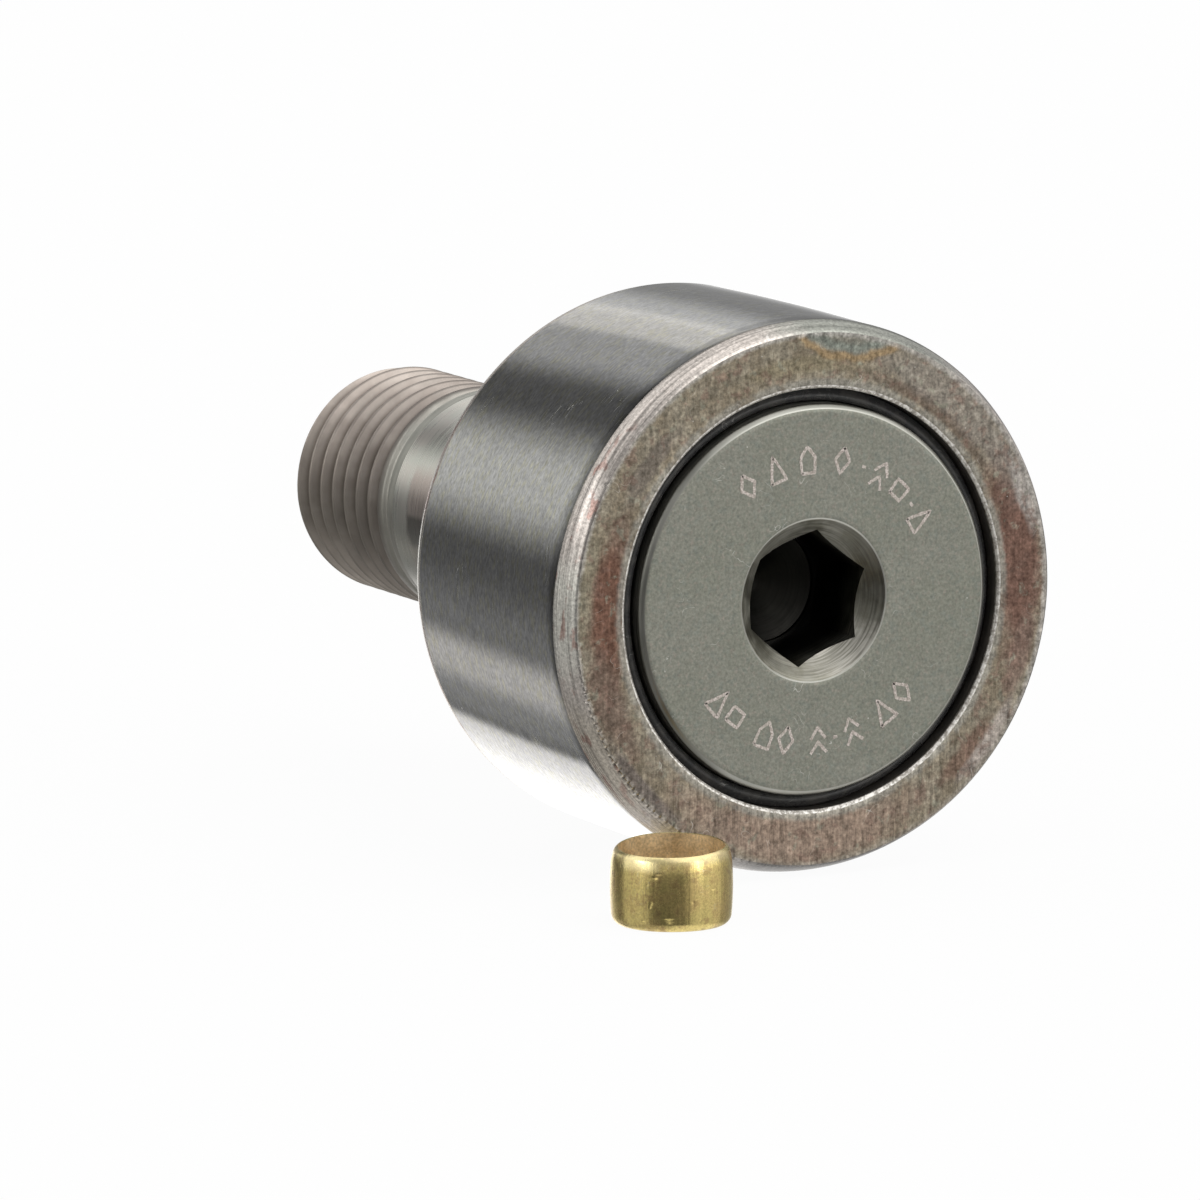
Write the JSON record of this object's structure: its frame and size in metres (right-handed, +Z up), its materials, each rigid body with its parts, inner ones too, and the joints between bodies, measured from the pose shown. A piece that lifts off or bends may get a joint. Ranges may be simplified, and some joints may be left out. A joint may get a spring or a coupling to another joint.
{
  "type": "stud-type needle cam follower",
  "caption": "Sealed stud-type needle cam follower: a crowned steel roller on a threaded stud with a hex-socket head, with its loose brass lubrication plug.",
  "frame": {"origin": "centre of the mounting shoulder, where the rear endplate's outer face meets the shank, on the stud axis", "axes": "+Y along the stud from the head to the threaded end, +Z up, with the roller lying on its tread; +X to the right seen from the head"},
  "size_m": [0.0228, 0.0435, 0.0222],
  "materials": {
    "stud_steel": "hardened steel, matte greenish-grey head, ground shank and brownish thread",
    "ring_steel": "ground tread, heat-tinted brown-grey end faces",
    "endplate_steel": "turned, case-hardened steel, satin",
    "needle_steel": "lapped bearing steel, lightly oiled",
    "seal_rubber": "oiled black nitrile, glossy",
    "plug_brass": "drawn brass, bright with small scratches"
  },
  "bodies": {
    "stud_body": {"stud": "stud_steel", "rear_endplate": "endplate_steel"},
    "roller": {"outer_ring": "ring_steel", "front_seal": "seal_rubber", "rear_seal": "seal_rubber"},
    "needle_complement": {"needle_01": "needle_steel", "needle_02": "needle_steel", "needle_03": "needle_steel", "needle_04": "needle_steel", "needle_05": "needle_steel", "needle_06": "needle_steel", "needle_07": "needle_steel", "needle_08": "needle_steel", "needle_09": "needle_steel", "needle_10": "needle_steel", "needle_11": "needle_steel", "needle_12": "needle_steel", "needle_13": "needle_steel", "needle_14": "needle_steel", "needle_15": "needle_steel", "needle_16": "needle_steel", "needle_17": "needle_steel", "needle_18": "needle_steel", "needle_19": "needle_steel", "needle_20": "needle_steel"},
    "loose_plug": {"lubrication_plug": "plug_brass"}
  },
  "joints": [
    {"name": "roller_spin", "type": "hinge", "parent": "stud_body", "child": "roller", "pos_m": [0, -0.00714, 0], "axis": [0, 1, 0], "continuous": true},
    {"name": "needle_orbit", "type": "hinge", "parent": "stud_body", "child": "needle_complement", "pos_m": [0, -0.00713, 0], "axis": [0, 1, 0], "continuous": true},
    {"name": "plug_lift", "type": "slide", "parent": "stud_body", "child": "loose_plug", "axis": [0, 0, 1], "range_m": [0, 0.025]}
  ],
  "couplings": [
    {"joint": "needle_orbit", "follows": "roller_spin", "ratio": 0.5775}
  ]
}
